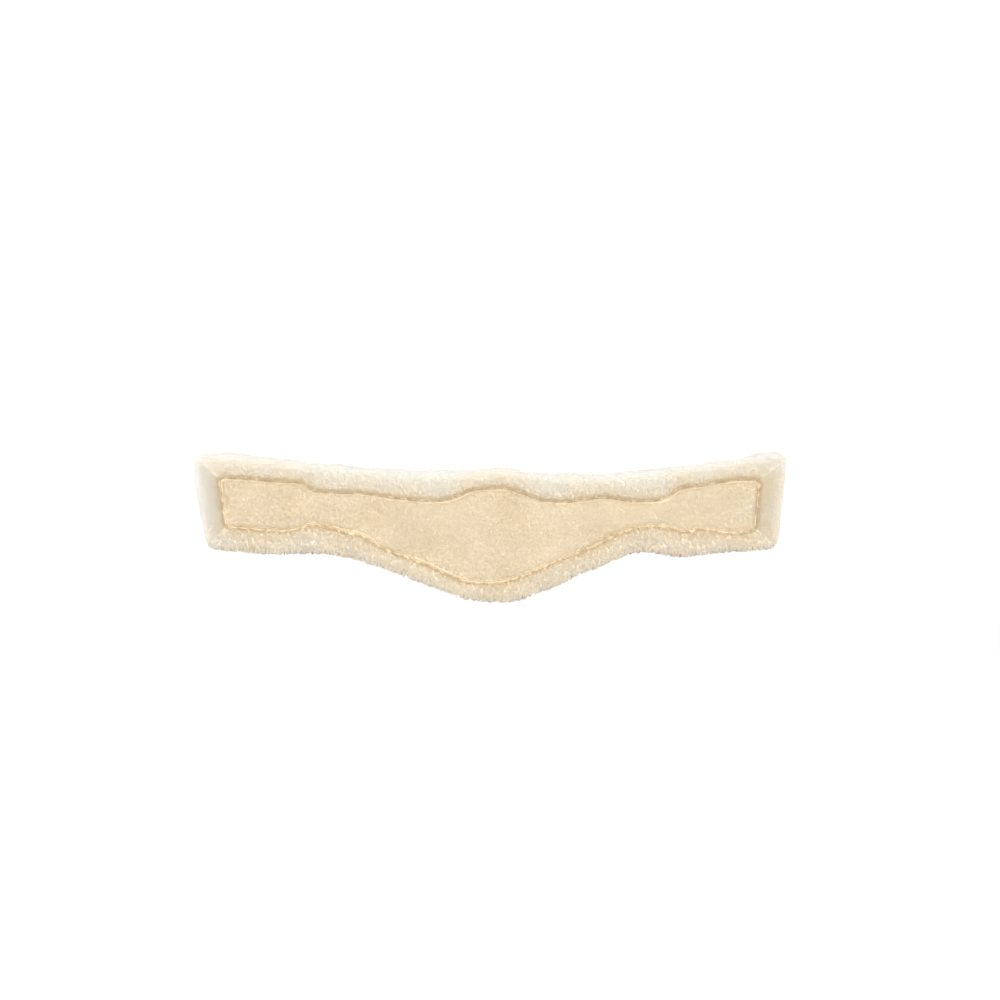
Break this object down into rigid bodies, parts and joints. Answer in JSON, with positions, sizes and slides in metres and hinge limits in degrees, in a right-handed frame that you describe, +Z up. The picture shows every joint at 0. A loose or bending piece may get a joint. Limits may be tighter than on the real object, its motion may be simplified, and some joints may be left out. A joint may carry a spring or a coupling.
{
  "type": "saddle girth",
  "caption": "Contoured saddle girth: a detachable lambskin liner on a padded leather body, with roller buckles on elastic webbing at both ends.",
  "frame": {"origin": "midway between the four buckle bars, in the plane of the buckles; this is where the girth is held", "axes": "+X along the girth's length, +Z up towards its upper edge, fleece facing -Y and buckles facing +Y"},
  "size_m": [0.7501, 0.0381, 0.1889],
  "materials": {
    "lambskin": "dense natural wool pile",
    "backing_cloth": "woven, matte",
    "loop_tape": "brushed loops",
    "hook_tape": "stiff hooks",
    "lining_cloth": "woven, matte",
    "foam": "closed-cell foam",
    "cover_leather": "smooth, satin",
    "trim_leather": "soft, satin",
    "strap_leather": "oiled, satin",
    "elastic": "ribbed webbing",
    "buckle_steel": "polished"
  },
  "bodies": {
    "girth_body": {"hook_tape_left": "hook_tape", "hook_tape_centre": "hook_tape", "hook_tape_right": "hook_tape", "body_lining": "lining_cloth", "foam_core": "foam", "outer_cover": "cover_leather", "edge_binding": "trim_leather", "load_strap": "strap_leather", "elastic_patch_left": "strap_leather", "elastic_patch_right": "strap_leather", "elastic_left_upper": "elastic", "elastic_left_lower": "elastic", "elastic_right_upper": "elastic", "elastic_right_lower": "elastic"},
    "lambskin_liner": {"fleece_panel": "lambskin", "fleece_roll_top": "lambskin", "fleece_roll_bottom": "lambskin", "fleece_roll_left": "lambskin", "fleece_roll_right": "lambskin", "liner_backing": "backing_cloth", "loop_tape_left": "loop_tape", "loop_tape_centre": "loop_tape", "loop_tape_right": "loop_tape"},
    "chape_left_upper": {"chape_left_upper": "strap_leather"},
    "frame_left_upper": {"buckle_frame_left_upper": "buckle_steel"},
    "tongue_left_upper": {"buckle_tongue_left_upper": "buckle_steel"},
    "roller_left_upper": {"buckle_roller_left_upper": "buckle_steel"},
    "chape_left_lower": {"chape_left_lower": "strap_leather"},
    "frame_left_lower": {"buckle_frame_left_lower": "buckle_steel"},
    "tongue_left_lower": {"buckle_tongue_left_lower": "buckle_steel"},
    "roller_left_lower": {"buckle_roller_left_lower": "buckle_steel"},
    "chape_right_upper": {"chape_right_upper": "strap_leather"},
    "frame_right_upper": {"buckle_frame_right_upper": "buckle_steel"},
    "tongue_right_upper": {"buckle_tongue_right_upper": "buckle_steel"},
    "roller_right_upper": {"buckle_roller_right_upper": "buckle_steel"},
    "chape_right_lower": {"chape_right_lower": "strap_leather"},
    "frame_right_lower": {"buckle_frame_right_lower": "buckle_steel"},
    "tongue_right_lower": {"buckle_tongue_right_lower": "buckle_steel"},
    "roller_right_lower": {"buckle_roller_right_lower": "buckle_steel"}
  },
  "joints": [
    {"name": "liner_lift_off", "type": "slide", "parent": "girth_body", "child": "lambskin_liner", "axis": [0, -1, 0], "range_m": [0, 0.08]},
    {"name": "elastic_stretch_left_upper", "type": "slide", "parent": "girth_body", "child": "chape_left_upper", "axis": [-0.9945, 0, 0.1045], "range_m": [0, 0.02], "stiffness_N_per_m": 3500, "deforming": ["elastic_left_upper"]},
    {"name": "buckle_swing_left_upper", "type": "hinge", "parent": "chape_left_upper", "child": "frame_left_upper", "pos_m": [-0.28801, 0, 0.0189], "axis": [-0.1045, 0, -0.9945], "range_deg": [0, 65]},
    {"name": "tongue_lift_left_upper", "type": "hinge", "parent": "frame_left_upper", "child": "tongue_left_upper", "pos_m": [-0.28801, 0, 0.0189], "axis": [-0.1045, 0, -0.9945], "range_deg": [0, 70]},
    {"name": "roller_spin_left_upper", "type": "hinge", "parent": "frame_left_upper", "child": "roller_left_upper", "pos_m": [-0.31188, 0, 0.02141], "axis": [-0.1045, 0, -0.9945], "continuous": true},
    {"name": "elastic_stretch_left_lower", "type": "slide", "parent": "girth_body", "child": "chape_left_lower", "axis": [-0.9945, 0, 0.1045], "range_m": [0, 0.02], "stiffness_N_per_m": 3500, "deforming": ["elastic_left_lower"]},
    {"name": "buckle_swing_left_lower", "type": "hinge", "parent": "chape_left_lower", "child": "frame_left_lower", "pos_m": [-0.29199, 0, -0.0189], "axis": [-0.1045, 0, -0.9945], "range_deg": [0, 65]},
    {"name": "tongue_lift_left_lower", "type": "hinge", "parent": "frame_left_lower", "child": "tongue_left_lower", "pos_m": [-0.29199, 0, -0.0189], "axis": [-0.1045, 0, -0.9945], "range_deg": [0, 70]},
    {"name": "roller_spin_left_lower", "type": "hinge", "parent": "frame_left_lower", "child": "roller_left_lower", "pos_m": [-0.31585, 0, -0.01639], "axis": [-0.1045, 0, -0.9945], "continuous": true},
    {"name": "elastic_stretch_right_upper", "type": "slide", "parent": "girth_body", "child": "chape_right_upper", "axis": [0.9945, 0, 0.1045], "range_m": [0, 0.02], "stiffness_N_per_m": 3500, "deforming": ["elastic_right_upper"]},
    {"name": "buckle_swing_right_upper", "type": "hinge", "parent": "chape_right_upper", "child": "frame_right_upper", "pos_m": [0.28801, 0, 0.0189], "axis": [-0.1045, 0, 0.9945], "range_deg": [0, 65]},
    {"name": "tongue_lift_right_upper", "type": "hinge", "parent": "frame_right_upper", "child": "tongue_right_upper", "pos_m": [0.28801, 0, 0.0189], "axis": [-0.1045, 0, 0.9945], "range_deg": [0, 70]},
    {"name": "roller_spin_right_upper", "type": "hinge", "parent": "frame_right_upper", "child": "roller_right_upper", "pos_m": [0.31188, 0, 0.02141], "axis": [-0.1045, 0, 0.9945], "continuous": true},
    {"name": "elastic_stretch_right_lower", "type": "slide", "parent": "girth_body", "child": "chape_right_lower", "axis": [0.9945, 0, 0.1045], "range_m": [0, 0.02], "stiffness_N_per_m": 3500, "deforming": ["elastic_right_lower"]},
    {"name": "buckle_swing_right_lower", "type": "hinge", "parent": "chape_right_lower", "child": "frame_right_lower", "pos_m": [0.29199, 0, -0.0189], "axis": [-0.1045, 0, 0.9945], "range_deg": [0, 65]},
    {"name": "tongue_lift_right_lower", "type": "hinge", "parent": "frame_right_lower", "child": "tongue_right_lower", "pos_m": [0.29199, 0, -0.0189], "axis": [-0.1045, 0, 0.9945], "range_deg": [0, 70]},
    {"name": "roller_spin_right_lower", "type": "hinge", "parent": "frame_right_lower", "child": "roller_right_lower", "pos_m": [0.31585, 0, -0.01639], "axis": [-0.1045, 0, 0.9945], "continuous": true}
  ]
}
